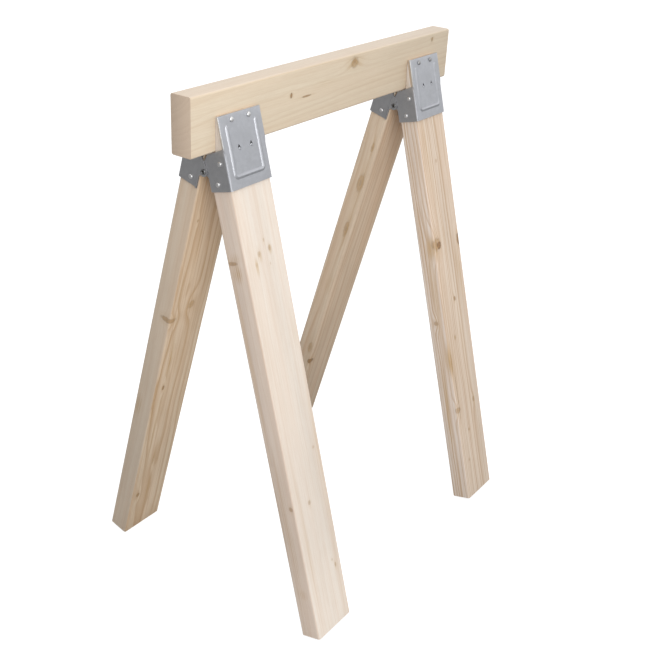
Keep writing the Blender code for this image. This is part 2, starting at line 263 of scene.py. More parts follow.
def soften(obj, width):
    modifier = obj.modifiers.new("edges", "BEVEL")
    modifier.width = width
    modifier.segments = 2
    modifier.limit_method = "ANGLE"
    modifier.angle_limit = radians(40)


def finish_mesh(mesh, sharp):
    """Smooth shading, but for edges that turn by more than `sharp` degrees."""
    mesh.shade_smooth()
    mesh.set_sharp_from_angle(angle=radians(sharp))
    return mesh


# ---- Node tools ----


class Nodes:
    """A short way to write a shader as expressions."""

    def __init__(self, material):
        material.use_nodes = True
        self.tree = material.node_tree
        self.shader = self.tree.nodes["Principled BSDF"]

    def put(self, socket, value):
        if isinstance(value, bpy.types.NodeSocket):
            self.tree.links.new(value, socket)
        elif value is not None:
            socket.default_value = value

    def add(self, kind, *values, out=0, **settings):
        node = self.tree.nodes.new("ShaderNode" + kind)
        for name, value in settings.items():
            setattr(node, name, value)
        for socket, value in zip(node.inputs, values):
            self.put(socket, value)
        return node.outputs[out]

    def math(self, operation, a, b=None, c=None):
        return self.add("Math", a, b, c, operation=operation)

    def split(self, vector):
        node = self.tree.nodes.new("ShaderNodeSeparateXYZ")
        self.put(node.inputs[0], vector)
        return node.outputs

    def vector(self, operation, a, b=None, out=0):
        return self.add("VectorMath", a, b, operation=operation, out=out)

    def fit(self, value, low, high, to_low=0.0, to_high=1.0):
        return self.add("MapRange", value, low, high, to_low, to_high, interpolation_type="SMOOTHSTEP")

    def noise(self, vector, scale, detail=2.0, roughness=0.5, out=0):
        node = self.tree.nodes.new("ShaderNodeTexNoise")
        self.put(node.inputs["Vector"], vector)
        node.inputs["Scale"].default_value = scale
        node.inputs["Detail"].default_value = detail
        node.inputs["Roughness"].default_value = roughness
        return node.outputs[out]

    def mix(self, share, a, b, blend="MIX"):
        node = self.tree.nodes.new("ShaderNodeMix")
        node.data_type = "RGBA"
        node.blend_type = blend
        self.put(node.inputs[0], share)
        self.put(node.inputs[6], a)
        self.put(node.inputs[7], b)
        return node.outputs[2]

    def bump(self, height, strength, distance):
        node = self.tree.nodes.new("ShaderNodeBump")
        node.inputs["Strength"].default_value = strength
        node.inputs["Distance"].default_value = distance
        self.put(node.inputs["Height"], height)
        return node.outputs[0]

    def set(self, name, value):
        self.put(self.shader.inputs[name], value)


def rgb(r, g, b):
    return (r, g, b, 1.0)


# ---- Wood ----

WOOD = {
    "pale": rgb(0.84, 0.75, 0.65),
    "late": rgb(0.54, 0.36, 0.20),
    "blush": rgb(0.77, 0.61, 0.48),
    "grey": rgb(0.70, 0.60, 0.50),
    "knot": rgb(0.34, 0.19, 0.09),
    "bark": rgb(0.15, 0.09, 0.05),
    "halo": rgb(0.55, 0.37, 0.18),
    # Painted shade in and around the tooth pockets, not a colour of the wood.
    "shaded_pocket": rgb(0.04, 0.035, 0.03),
    "end": rgb(0.74, 0.60, 0.52),
    "end_late": rgb(0.60, 0.46, 0.36),
}


def spruce(name, seed, pith, ring_gap, tint, side, grain, bands, waver, knots, smears=(), foot_light=1.0, shaded_pocket=()):
    """Planed spruce, cut from a log whose pith runs along +X, at pith's y and z with pith's slope in z.

    A knot is ((x, y, z), (half length, half depth, half width), darkness), and a smear is a long stain of the
    same form. The growth rings part round each knot. grain says how strongly the rings show, then by how much
    of that where they lie flat, and on the narrow faces. bands is the strength of the slow changes of colour,
    waver how far the rings stray, side a tint on the narrow faces that paints light and shade on them,
    foot_light how much brighter the far end is, painted light, and shaded_pocket the places where a tooth of
    the bracket sits in the wood, where painted shade darkens the wood in and around the pocket.
    """
    lines, where_flat, where_narrow = grain
    material = bpy.data.materials.new(name)
    n = Nodes(material)
    place = n.tree.nodes.new("ShaderNodeTexCoord").outputs["Object"]
    own = n.vector("ADD", place, (seed * 1.37, seed * 0.71, seed * 2.11))
    along, deep, across = n.split(place)
    facing_x, _, facing_z = n.split(n.tree.nodes.new("ShaderNodeTexCoord").outputs["Normal"])
    end_face = n.fit(n.math("ABSOLUTE", facing_x), 0.75, 0.95)
    narrow = n.fit(n.math("ABSOLUTE", facing_z), 0.55, 0.85)

    slow = n.noise(n.vector("MULTIPLY", own, (1.8, 9.0, 9.0)), 1.0, 2.0, 0.5)
    sway = n.noise(n.vector("MULTIPLY", own, (9.0, 34.0, 34.0)), 1.0, 3.0, 0.5)
    y = n.math("SUBTRACT", deep, pith[0])
    z = n.math("SUBTRACT", across, n.math("MULTIPLY_ADD", along, pith[2], pith[1]))
    radius = n.math("SQRT", n.math("ADD", n.math("MULTIPLY", y, y), n.math("MULTIPLY", z, z)))
    steep = n.fit(narrow, 0.0, 1.0, n.math("ABSOLUTE", z), n.math("ABSOLUTE", y))
    steep = n.fit(n.math("DIVIDE", steep, radius), 0.1, 0.8, where_flat, 1.0)
    radius = n.math("MULTIPLY_ADD", slow, waver, radius)
    radius = n.math("MULTIPLY_ADD", sway, 0.0040, radius)

    ragged = n.noise(n.vector("MULTIPLY", own, (150.0, 210.0, 210.0)), 1.0, 2.0)
    ragged = n.math("MULTIPLY_ADD", ragged, 0.55, -0.275)
    nearest, strength, halo = 9.0, 0.0, 0.0
    for centre, size, darkness in knots:
        away = n.vector("DIVIDE", n.vector("SUBTRACT", place, centre), size)
        distance = n.math("ADD", n.vector("LENGTH", away, out=1), ragged)
        spindle = n.vector("LENGTH", n.vector("MULTIPLY", away, (0.24, 0.5, 0.5)), out=1)
        push = n.math("EXPONENT", n.math("MULTIPLY", n.math("MULTIPLY", spindle, spindle), -1.3))
        radius = n.math("MULTIPLY_ADD", push, 1.6 * darkness * min(size), radius)
        stained = n.vector("LENGTH", n.vector("MULTIPLY", away, (0.28, 0.5, 0.5)), out=1)
        nearest = n.math("MINIMUM", distance, nearest)
        strength = n.math("MAXIMUM", n.fit(distance, 2.2, 1.4, 0.0, darkness), strength)
        halo = n.math("MAXIMUM", n.fit(stained, 1.0, 0.2, 0.0, darkness), halo)
    core = n.math("MULTIPLY", n.fit(nearest, 1.1, 0.7), strength)
    heart = n.fit(nearest, 0.50, 0.15, 0.0, 0.5)
    rim = n.fit(n.math("ABSOLUTE", n.math("SUBTRACT", nearest, 0.95)), 0.35, 0.05)
    rim = n.math("MULTIPLY", rim, n.math("POWER", strength, 3.0))

    uneven = n.noise(n.add("CombineXYZ", n.math("MULTIPLY", radius, 75.0), seed, 0.0), 1.0, 2.0)
    rings = n.math("MULTIPLY_ADD", uneven, 2.2, n.math("DIVIDE", radius, ring_gap))
    phase = n.math("FRACT", rings)
    late = n.math("MULTIPLY", n.fit(phase, 0.30, 0.86), n.fit(phase, 1.0, 0.90))
    which = n.noise(n.add("CombineXYZ", n.math("MULTIPLY", rings, 0.53), seed, 3.0), 1.0, 1.0)
    late = n.math("MULTIPLY", late, n.fit(which, 0.30, 0.70, 0.15, 1.0))
    on_narrow = n.fit(narrow, 0.0, 1.0, 1.0, where_narrow)
    late = n.math("MULTIPLY", late, n.math("MULTIPLY", steep, on_narrow))

    streak = n.noise(n.vector("MULTIPLY", own, (5.0, 380.0, 380.0)), 1.0, 3.0, 0.6)
    broad = n.noise(n.vector("MULTIPLY", own, (1.5, 44.0, 44.0)), 1.0, 2.0, 0.55)
    patch = n.noise(n.vector("MULTIPLY", own, (4.5, 21.0, 21.0)), 1.0, 3.0, 0.5)
    fibre = n.noise(n.vector("MULTIPLY", own, (60.0, 2600.0, 2600.0)), 1.0, 2.0, 0.6)

    colour = n.mix(n.fit(broad, 0.36, 0.68, 0.0, bands), WOOD["pale"], WOOD["blush"])
    colour = n.mix(n.fit(patch, 0.42, 0.74, 0.0, bands), colour, WOOD["grey"])
    colour = n.mix(n.math("MULTIPLY", late, lines), colour, WOOD["late"])
    streaks = n.math("MULTIPLY", n.fit(streak, 0.42, 0.68, 0.0, 0.50 * lines), on_narrow)
    colour = n.mix(streaks, colour, WOOD["late"])
    colour = n.mix(n.fit(fibre, 0.3, 0.75, 0.0, 0.16), colour, WOOD["late"])
    for centre, size, darkness in smears:
        away = n.vector("DIVIDE", n.vector("SUBTRACT", place, centre), size)
        stain = n.fit(n.vector("LENGTH", away, out=1), 1.2, 0.1, 0.0, darkness)
        stain = n.math("MULTIPLY", stain, n.fit(streak, 0.38, 0.62, 0.15, 1.0))
        colour = n.mix(stain, colour, WOOD["halo"])
    glow = n.math("MULTIPLY", halo, n.fit(late, 0.0, 0.8, 0.30, 0.80))
    colour = n.mix(glow, colour, WOOD["halo"])
    swirl = n.math("SINE", n.math("MULTIPLY", radius, 4200.0))
    tan = n.math("MULTIPLY", n.fit(swirl, -1.0, 1.0, 0.5, 1.0), n.fit(strength, 0.45, 0.85, 1.0, 0.2))
    knot_colour = n.mix(tan, WOOD["knot"], WOOD["halo"])
    knot_colour = n.mix(heart, knot_colour, WOOD["bark"])
    colour = n.mix(core, colour, knot_colour)
    colour = n.mix(n.math("MULTIPLY", rim, 0.8), colour, WOOD["bark"])

    pores = n.noise(n.vector("MULTIPLY", own, (300.0, 700.0, 700.0)), 1.0, 2.0, 0.6)
    end_colour = n.mix(n.fit(phase, 0.2, 0.9, 0.0, 0.18), WOOD["end"], WOOD["end_late"])
    end_colour = n.mix(n.fit(pores, 0.35, 0.75, 0.0, 0.35), end_colour, WOOD["end_late"])
    colour = n.mix(n.math("MULTIPLY", end_face, 0.85), colour, end_colour)
    # Painted shade: near-black in and around each tooth pocket, under the hole in the plate.
    for spot in shaded_pocket:
        away = n.vector("LENGTH", n.vector("SUBTRACT", place, spot), out=1)
        colour = n.mix(n.fit(away, TOOTH_WIDTH, 0.8 * TOOTH_WIDTH), colour, WOOD["shaded_pocket"])
    colour = n.mix(1.0, colour, rgb(*tint), blend="MULTIPLY")
    # Painted light and shade: the narrow faces take a tint of their own.
    colour = n.mix(narrow, colour, rgb(*side), blend="MULTIPLY")
    # Painted shade: the narrow faces above the hinge, beside the beam, are made darker and cooler.
    if shaded_pocket:
        shade_beside_beam = n.math("MULTIPLY", narrow, n.fit(along, 0.0, -SHEET))
        colour = n.mix(shade_beside_beam, colour, rgb(0.83, 0.91, 0.99), blend="MULTIPLY")
    # Painted light: the lower end of the leg, near the floor, is made brighter.
    if foot_light != 1.0:
        colour = n.mix(n.fit(along, 0.60, 0.80), colour, rgb(foot_light, foot_light, foot_light), blend="MULTIPLY")
    n.set("Base Color", colour)
    n.set("Roughness", n.math("MULTIPLY_ADD", end_face, 0.15, n.fit(late, 0.0, 1.0, 0.62, 0.50)))
    n.set("Specular IOR Level", 0.35)
    height = n.math("MULTIPLY_ADD", late, -0.35, n.math("MULTIPLY", fibre, 0.5))
    height = n.math("MULTIPLY_ADD", rim, -0.8, height)
    height = n.math("MULTIPLY_ADD", n.math("MULTIPLY", end_face, pores), 0.9, height)
    n.set("Normal", n.bump(height, 0.35, 0.0004))
    return material


HALF = BOARD_WIDTH / 2
FACE = BOARD_THICK / 2


def knot(x, z, long, wide, dark, face=0.0):
    """A knot across the board at (x, z). With a face of -1 or 1 it shows on that broad face only."""
    return (x, face * FACE, z), (long, 0.008 if face else 0.060, wide), dark


def edge_knot(x, y, z, long, wide, dark):
    """A knot on a narrow face or on an arris, at z."""
    return (x, y, z), (long, wide, 0.012), dark


# A board's side tint paints light and shade on its narrow faces. A foot value above 1 paints light on the
# lower end of a leg.
BOARDS = {
    "crossbeam": dict(
        seed=3.0,
        pith=(0.055, 0.105, 0.03),
        ring_gap=0.0085,
        tint=(0.95, 0.92, 0.83),
        side=(0.97, 0.98, 1.05),
        grain=(0.20, 0.5, 0.5),
        bands=0.25,
        waver=0.030,
        knots=[
            knot(0.045, 0.030, 0.0100, 0.0095, 0.60),
            knot(0.044, 0.033, 0.0030, 0.0030, 0.70),
            knot(-0.124, 0.006, 0.0026, 0.0040, 0.85),
            knot(-0.085, -0.002, 0.0110, 0.0014, 0.75, -1),
            knot(0.291, 0.033, 0.0030, 0.0040, 0.7),
        ],
        smears=[
            ((-0.040, -FACE, 0.013), (0.034, 0.02, 0.0008), 0.55),
            ((-0.052, -FACE, 0.006), (0.030, 0.02, 0.0007), 0.50),
            ((-0.030, -FACE, 0.009), (0.026, 0.02, 0.0006), 0.45),
        ],
    ),
    "near_left": dict(
        seed=11.0,
        pith=(0.075, 0.012, -0.015),
        ring_gap=0.0110,
        tint=(1.01, 1.03, 1.065),
        side=(1.03, 0.965, 0.93),
        foot_light=1.16,
        grain=(0.26, 0.5, 1.0),
        bands=0.40,
        waver=0.030,
        knots=[
            knot(0.118, 0.003, 0.0034, 0.0018, 0.35, -1),
            knot(0.133, 0.013, 0.0046, 0.0032, 0.45, -1),
            knot(0.136, -0.012, 0.0048, 0.0034, 0.40, -1),
            knot(0.150, -0.022, 0.0040, 0.0030, 0.25, -1),
            knot(0.157, 0.009, 0.0026, 0.0014, 0.25, -1),
            knot(0.477, 0.028, 0.0030, 0.0030, 0.3, -1),
            knot(0.562, -0.006, 0.0040, 0.0034, 0.45, -1),
            knot(0.686, 0.023, 0.0028, 0.0020, 0.3, -1),
            knot(0.699, 0.029, 0.0045, 0.0022, 0.5, -1),
            edge_knot(0.142, 0.008, -HALF, 0.0032, 0.0090, 0.62),
            edge_knot(0.556, -0.012, -HALF, 0.0042, 0.0036, 0.55),
        ],
        smears=[
            ((0.135, -FACE, 0.013), (0.009, 0.02, 0.006), 0.50),
            ((0.140, -FACE, -0.012), (0.012, 0.02, 0.006), 0.50),
            ((0.154, -FACE, -0.021), (0.018, 0.02, 0.005), 0.55),
            ((0.265, -FACE, 0.034), (0.050, 0.02, 0.005), 0.40),
            ((0.500, -FACE, 0.036), (0.200, 0.02, 0.005), 0.30),
            ((0.620, -FACE, -0.030), (0.150, 0.02, 0.006), 0.30),
            ((0.620, 0.004, -HALF), (0.170, 0.010, 0.010), 0.45),
            ((0.320, 0.012, -HALF), (0.200, 0.006, 0.010), 0.35),
            ((0.134, 0.0, -HALF), (0.010, 0.016, 0.01), 0.35),
            ((0.158, 0.001, -HALF), (0.018, 0.013, 0.01), 0.75),
            ((0.719, 0.0, -HALF), (0.012, 0.012, 0.01), 0.35),
        ],
    ),
    "far_left": dict(
        seed=23.0,
        pith=(-0.040, 0.004, 0.010),
        ring_gap=0.0062,
        tint=(1.01, 0.94, 0.83),
        side=(0.88, 0.90, 0.95),
        foot_light=1.14,
        grain=(0.90, 0.8, 0.15),
        bands=0.50,
        waver=0.030,
        knots=[
            knot(0.096, 0.028, 0.0030, 0.0022, 0.55),
            knot(0.270, -0.002, 0.0085, 0.0075, 0.50),
            edge_knot(0.288, 0.012, 0.041, 0.0050, 0.0130, 0.62),
            knot(0.442, 0.024, 0.0050, 0.0028, 0.75),
            knot(0.630, 0.007, 0.0110, 0.0022, 0.45),
            knot(0.708, 0.030, 0.0050, 0.0040, 0.7),
        ],
        smears=[
            ((0.150, FACE, 0.012), (0.080, 0.02, 0.006), 0.65),
            ((0.180, FACE, -0.014), (0.070, 0.02, 0.004), 0.55),
            ((0.170, FACE, -0.002), (0.060, 0.02, 0.0025), 0.55),
            ((0.373, FACE, 0.022), (0.060, 0.02, 0.005), 0.75),
            ((0.385, FACE, 0.006), (0.050, 0.02, 0.002), 0.65),
            ((0.560, FACE, 0.024), (0.090, 0.02, 0.003), 0.60),
            ((0.700, FACE, 0.006), (0.040, 0.02, 0.008), 0.45),
            ((0.477, FACE, 0.030), (0.050, 0.02, 0.006), 0.45),
            ((0.493, -0.010, HALF), (0.030, 0.010, 0.01), 0.5),
        ],
    ),
    "near_right": dict(
        seed=31.0,
        pith=(-0.060, 0.034, 0.010),
        ring_gap=0.0042,
        tint=(1.0, 0.965, 0.94),
        side=(1.19, 1.24, 1.33),
        grain=(0.85, 0.35, 1.3),
        bands=0.45,
        waver=0.008,
        knots=[
            edge_knot(0.266, -0.020, -0.036, 0.0120, 0.0100, 0.60),
            knot(0.270, -0.029, 0.0045, 0.0045, 0.95, -1),
            knot(0.114, -0.001, 0.0040, 0.0034, 0.35, -1),
            knot(0.277, 0.040, 0.0100, 0.0045, 0.85, -1),
            knot(0.508, 0.0032 - HALF, 0.0210, 0.0022, 0.55, -1),
            knot(0.578, 0.0085 - HALF, 0.0420, 0.0006, 0.90, -1),
            knot(0.386, 0.000, 0.0042, 0.0034, 0.7, -1),
            edge_knot(0.424, 0.002, -HALF, 0.0045, 0.0045, 0.60),
            knot(0.461, -0.017, 0.0050, 0.0032, 0.5, -1),
            knot(0.608, 0.020, 0.0055, 0.0034, 0.6, -1),
            edge_knot(0.608, -FACE, -HALF, 0.0060, 0.0050, 0.55),
            knot(0.662, -0.011, 0.0028, 0.0026, 0.5, -1),
            knot(0.724, -0.024, 0.0030, 0.0028, 0.4, -1),
        ],
        smears=[
            ((0.110, -FACE, -0.040), (0.120, 0.02, 0.0014), 0.90),
            ((0.110, -FACE, -0.034), (0.120, 0.02, 0.0014), 0.85),
            ((0.100, -FACE, -0.028), (0.100, 0.02, 0.0012), 0.75),
            ((0.110, -FACE, -0.022), (0.090, 0.02, 0.0010), 0.60),
            ((0.274, -0.012, -HALF), (0.026, 0.016, 0.012), 0.85),
            ((0.548, -FACE, 0.008 - HALF), (0.066, 0.02, 0.0012), 0.90),
            ((0.320, -FACE, 0.032), (0.075, 0.02, 0.005), 0.90),
            ((0.330, -FACE, 0.022), (0.060, 0.02, 0.002), 0.80),
            ((0.500, -FACE, -HALF), (0.040, 0.014, 0.007), 1.0),
            ((0.450, -FACE, 0.012), (0.120, 0.02, 0.004), 0.45),
            ((0.360, -0.004, -HALF), (0.110, 0.008, 0.01), 0.70),
            ((0.600, 0.004, -HALF), (0.120, 0.008, 0.01), 0.70),
        ],
    ),
    "far_right": dict(
        seed=47.0,
        pith=(0.030, 0.090, -0.010),
        ring_gap=0.0080,
        tint=(1.0, 0.93, 0.84),
        side=(1.0, 1.0, 1.0),
        grain=(0.50, 0.5, 0.8),
        bands=0.60,
        waver=0.030,
        knots=[
            edge_knot(0.097, 0.008, HALF, 0.0100, 0.0032, 0.5),
            edge_knot(0.176, 0.006, HALF, 0.0200, 0.0070, 0.5),
            edge_knot(0.282, 0.006, HALF, 0.0180, 0.0050, 0.5),
            edge_knot(0.587, 0.010, HALF, 0.0140, 0.0055, 0.45),
            edge_knot(0.621, FACE, HALF, 0.0060, 0.0050, 0.8),
        ],
        smears=[
            ((0.418, 0.007, HALF), (0.030, 0.010, 0.010), 0.35),
            ((0.230, 0.006, HALF), (0.160, 0.006, 0.010), 0.40),
        ],
    ),
}


# ---- Boards ----


def section(half_thick, half_wide):
    """A board's rounded section as (y, z) points."""
    a, b = half_thick - ARRIS_RADIUS, half_wide - ARRIS_RADIUS
    corners = [(a, b, 0), (-a, b, pi / 2), (-a, -b, pi), (a, -b, 3 * pi / 2)]
    return [p for y, z, t in corners for p in arc((y, z), ARRIS_RADIUS, t, t + pi / 2, 7)]


def board_mesh(name, low, high):
    outline = section(BOARD_THICK / 2, BOARD_WIDTH / 2)
    return prism(name, outline, low, high, lambda a, b, d: Vector((d, a, b)))


def along_leg(u, v, x):
    """A point of the leg's frame in board axes: +X down the leg, -Y outward, +Z across."""
    return Vector((u, LEG_MIDDLE - v, x))


BOARD_TO_LEG = Matrix(((0, 0, 1, 0), (0, 1, 0, -LEG_MIDDLE), (-1, 0, 0, 0), (0, 0, 0, 1)))


def tooth_outline(side):
    """The triangle of a punched tooth as (u, x) points, with its tip up the leg."""
    rise, half, middle = TOOTH_HEIGHT / 2, TOOTH_WIDTH / 2, side * TOOTH_SPREAD
    return [(TOOTH_U + rise, middle - half), (TOOTH_U + rise, middle + half), (TOOTH_U - rise, middle)]


def leg_mesh():
    """A leg: its top is sawn back to stand beside the beam, and the teeth have ripped two holes in it."""
    cheek = BOARD_THICK / 2 + BEAM_PLAY
    seat = HINGE_BELOW_BEAM - SEAT_GAP
    far = 0.4
    upright = [(cheek, far), (cheek, seat), (CENTRE_GAP, seat), (CENTRE_GAP, 0), (-far, 0), (-far, far)]
    outline = [from_upright(*point) for point in upright]
    steps = [("DIFFERENCE", prism("notch", outline, -BOARD_WIDTH, BOARD_WIDTH, along_leg))]
    for side in (-1, 1):
        low, high = LEG_OUTER_FACE - TOOTH_DEPTH, PLATE_OUTER
        shaded_pocket = prism("shaded_pocket", tooth_outline(side), low, high, lambda a, b, d: along_leg(a, d, b))
        steps.append(("DIFFERENCE", shaded_pocket))
    board = board_mesh("leg_blank", -PLATE_ABOVE_HINGE, LEG_BELOW_HINGE)
    return finish_mesh(shaped("leg_look", board, steps, bevel=LEG_SOFTENING), 30)


def beam_mesh():
    blank = helper("beam_blank", board_mesh("beam_look", -BEAM_LENGTH / 2, BEAM_LENGTH / 2))
    soften(blank, BEAM_SOFTENING)
    return finish_mesh(baked(blank), 30)


# ---- Bracket leaf ----


def flange_outline():
    """A flange from the side as (u, v) points: lower edge, round ear, and the saddle under the beam."""
    drop = (BOARD_THICK / 2 - SADDLE_CORNER) * tan(SADDLE_SLOPE)
    saddle = HINGE_BELOW_BEAM - TOUCH - drop
    corner = from_upright(SADDLE_CORNER, saddle)
    beyond = from_upright(BOARD_WIDTH, saddle + (BOARD_WIDTH - SADDLE_CORNER) * tan(SADDLE_SLOPE))
    level = LEG_INNER_FACE - EAR_FILLET
    fillet = (sqrt((EAR_RADIUS + EAR_FILLET) ** 2 - level**2), level)
    meets = atan2(fillet[1], fillet[0])
    leaves = atan2(corner[1], corner[0]) + acos(EAR_RADIUS / hypot(*corner)) - 2 * pi
    return [
        (PLATE_BELOW_HINGE, beyond[1]),
        (PLATE_BELOW_HINGE, LEG_INNER_FACE),
        *arc(fillet, EAR_FILLET, pi / 2, pi + meets, 8),
        *arc((0, 0), EAR_RADIUS, meets, leaves, 28)[1:],
        corner,
        beyond,
    ]


def leaf_section():
    """The folded sheet seen along the leg, with the joggle that sets its +X ear outward."""
    x, v, bend = FLANGE_INNER + SHEET / 2, PLATE_INNER + SHEET / 2, BEND_RADIUS
    path = [
        (x + JOGGLE_STEP, -2 * EAR_RADIUS),
        (x + JOGGLE_STEP, JOGGLE_START),
        (x, JOGGLE_START + JOGGLE_LENGTH),
        *arc((x - bend, v - bend), bend, 0, pi / 2, 10),
        *arc((bend - x, v - bend), bend, pi / 2, pi, 10),
        (-x, -2 * EAR_RADIUS),
    ]
    left, right = sides_of(path, SHEET / 2)
    return [tuple(p) for p in left + right[::-1]]


def rib_mesh():
    """A raised half-round U on the plate, open at the top, whose ends run out into the sheet."""
    top, bottom = RIB_BELOW_TOP - PLATE_ABOVE_HINGE, PLATE_BELOW_HINGE - RIB_ABOVE_BOTTOM
    turn, spread = RIB_CORNER, RIB_SPREAD
    path = [
        *[(spread, top + RIB_RUN_OUT * i / 4) for i in range(5)],
        *arc((spread - turn, bottom - turn), turn, 0, pi / 2, 9),
        *arc((turn - spread, bottom - turn), turn, pi / 2, pi, 9),
        *[(-spread, top + RIB_RUN_OUT * (4 - i) / 4) for i in range(5)],
    ]
    left, right = sides_of(path, 1.0)
    bm = bmesh.new()
    rows = []
    profile = [pi * i / 12 for i in range(13)]
    for middle, one, other in zip(path, left, right):
        gone = max(0.0, 1 - (middle[1] - top) / RIB_RUN_OUT)
        size = sqrt(max(0.04, 1 - gone * gone))
        across = (Vector(one) - Vector(other)) / 2
        row = []
        for t in profile:
            off = Vector(middle) + across * (cos(t) * RIB_WIDTH / 2 * size)
            lift = RIB_HEIGHT * size * (1 - abs(cos(t)) ** 1.5)
            row.append(bm.verts.new(in_leg(off.y, PLATE_OUTER + lift - RIB_SINK, off.x)))
        for t in (pi, 0):
            off = Vector(middle) + across * (cos(t) * RIB_WIDTH / 2 * size)
            row.append(bm.verts.new(in_leg(off.y, PLATE_OUTER - SHEET / 2, off.x)))
        rows.append(row)
    count = len(rows[0])
    for row, after in zip(rows, rows[1:]):
        for i in range(count):
            j = (i + 1) % count
            bm.faces.new([row[i], row[j], after[j], after[i]])
    bm.faces.new(rows[0])
    bm.faces.new(rows[-1])
    return mesh_of("rib", bm)


def tooth_hole(side):
    low, high = PLATE_INNER - SHEET, PLATE_OUTER + SHEET
    return prism("tooth_hole", tooth_outline(side), low, high, lambda a, b, d: in_leg(a, d, b))


def tooth(side):
    """The tongue that was punched out of the plate, bent square into the wood."""
    base, half, middle = TOOTH_U + TOOTH_HEIGHT / 2, TOOTH_WIDTH / 2, side * TOOTH_SPREAD
    root = PLATE_INNER + SHEET / 2
    outline = [(root, middle - half), (root, middle + half), (PLATE_INNER - TOOTH_DEPTH, middle)]
    return prism("tooth", outline, base - TOOTH_SHEET, base + TOUCH, lambda a, b, d: in_leg(d, a, b))


def tooth_lip(side):
    """The little swelling that the bent tooth leaves below its hole."""
    swell = [(0.35 * TOOTH_LIP * sin(t), TOOTH_LIP * cos(t)) for t in [pi / 12 * i for i in range(7)]]
    profile = [(PLATE_OUTER + d, r) for d, r in [(-SHEET / 2, 0), (-SHEET / 2, TOOTH_LIP), *swell]]
    return turned("tooth_lip", profile, out_of_plate(TOOTH_U + TOOTH_HEIGHT / 2, side * TOOTH_SPREAD))


def plate_bm():
    """The flat upper plate, its outer rim rolled over as a press leaves it."""
    (u0, v0), (u1, v1) = flange_outline()[-2:]
    fold_top = u0 + (u1 - u0) * (PLATE_OUTER - v0) / (v1 - v0)
    flat_half = FLANGE_OUTER - BEND_RADIUS - SHEET / 2
    plate = [
        (-PLATE_ABOVE_HINGE, -FLANGE_OUTER),
        (-PLATE_ABOVE_HINGE, FLANGE_OUTER),
        (fold_top, FLANGE_OUTER),
        (fold_top / 2, flat_half),
        (fold_top / 2, -flat_half),
        (fold_top, -FLANGE_OUTER),
    ]
    bm = prism_bm(plate, PLATE_INNER, PLATE_OUTER, lambda a, b, d: in_leg(a, d, b))
    close = 1e-6

    def on_rim(edge):
        ends = [v.co for v in edge.verts]
        outside = all(abs(end.y + PLATE_OUTER) < close for end in ends)
        at_edge = all(abs(end.x) > flat_half or abs(end.z - PLATE_ABOVE_HINGE) < close for end in ends)
        return outside and at_edge and max(end.z for end in ends) >= PLATE_ABOVE_HINGE / 2

    rolled = [edge for edge in bm.edges if on_rim(edge)]
    bmesh.ops.bevel(bm, geom=rolled, offset=PLATE_ROLL, segments=5, affect="EDGES", profile=0.5)
    return bm


def hole(radius, low, high, place):
    return pin("hole", radius + HOLE_PLAY, low, high, place)


def leaf_mesh():
    folded = prism(
        "leaf_fold", leaf_section(), -PLATE_ABOVE_HINGE, PLATE_BELOW_HINGE, lambda a, b, d: in_leg(d, b, a)
    )
    side_view = prism("leaf_side", flange_outline(), -BOARD_WIDTH, BOARD_WIDTH, in_leg)
    steps = [("INTERSECT", side_view), ("UNION", mesh_of("plate", plate_bm())), ("UNION", rib_mesh())]
    plate_reach = PLATE_INNER - SHEET, PLATE_OUTER + SHEET
    flange_reach = FLANGE_INNER - SHEET, FLANGE_OUTER + SHEET
    ear_reach = FLANGE_INNER - SHEET, FLANGE_OUTER + 3 * SHEET
    for side in (-1, 1):
        steps.append(("DIFFERENCE", tooth_hole(side)))
        steps.append(("UNION", tooth(side)))
        steps.append(("UNION", tooth_lip(side)))
        nail_place = out_of_plate(PLATE_NAIL_U, side * PLATE_NAIL_SPREAD)
        steps.append(("DIFFERENCE", hole(NAIL_SHANK, *plate_reach, nail_place)))
        for u, v in FLANGE_NAILS.values():
            steps.append(("DIFFERENCE", hole(NAIL_SHANK, *flange_reach, out_of_flange(u, v, side))))
        steps.append(("DIFFERENCE", hole(RIVET_SHANK, *ear_reach, out_of_flange(0, 0, side))))
    return finish_mesh(shaped("leaf_look", folded, steps), 32)


def metal_slot(face):
    """The leaf's material slot for a face: 1 on sheared edges, 2 on the plate's rolled sides, whose brighter
    zinc is a painted highlight, else 0.
    """
    out, depth, up = abs(face.center.x), -face.center.y, face.center.z
    if out > FLANGE_OUTER - PLATE_SIDE and depth > PLATE_INNER + TOUCH and up > 2 * BEND_RADIUS:
        return 2
    on_flange = out > FLANGE_INNER - 2 * TOUCH and depth < PLATE_INNER - SHEET
    in_tooth = abs(out - TOOTH_SPREAD) < TOOTH_WIDTH / 2 and abs(up + TOOTH_U) < TOOTH_HEIGHT / 2
    sheared = (on_flange and abs(face.normal.x) < 0.35) or (in_tooth and abs(face.normal.y) < 0.5)
    return int(sheared)


# ---- Nails and rivets ----


def dome(base, radius, height, steps=8):
    """A domed head from its rim up: a short cylinder, then a flattened quarter round."""
    rim = 0.22 * height
    turns = [pi / 2 * i / steps for i in range(steps)]
    round_part = [(base + rim + (height - rim) * sin(t), radius * cos(t)) for t in turns]
    return [(base, 0.96 * radius), (base + 0.3 * rim, radius), *round_part, (base + height, 0)]


def nail_mesh(name, length):
    point = 2 * NAIL_SHANK
    shank = [(-length, 0), (point - length, NAIL_SHANK), (0, NAIL_SHANK)]
    return finish_mesh(turned(name, shank + dome(0, NAIL_HEAD, NAIL_DOME), along_z), 50)


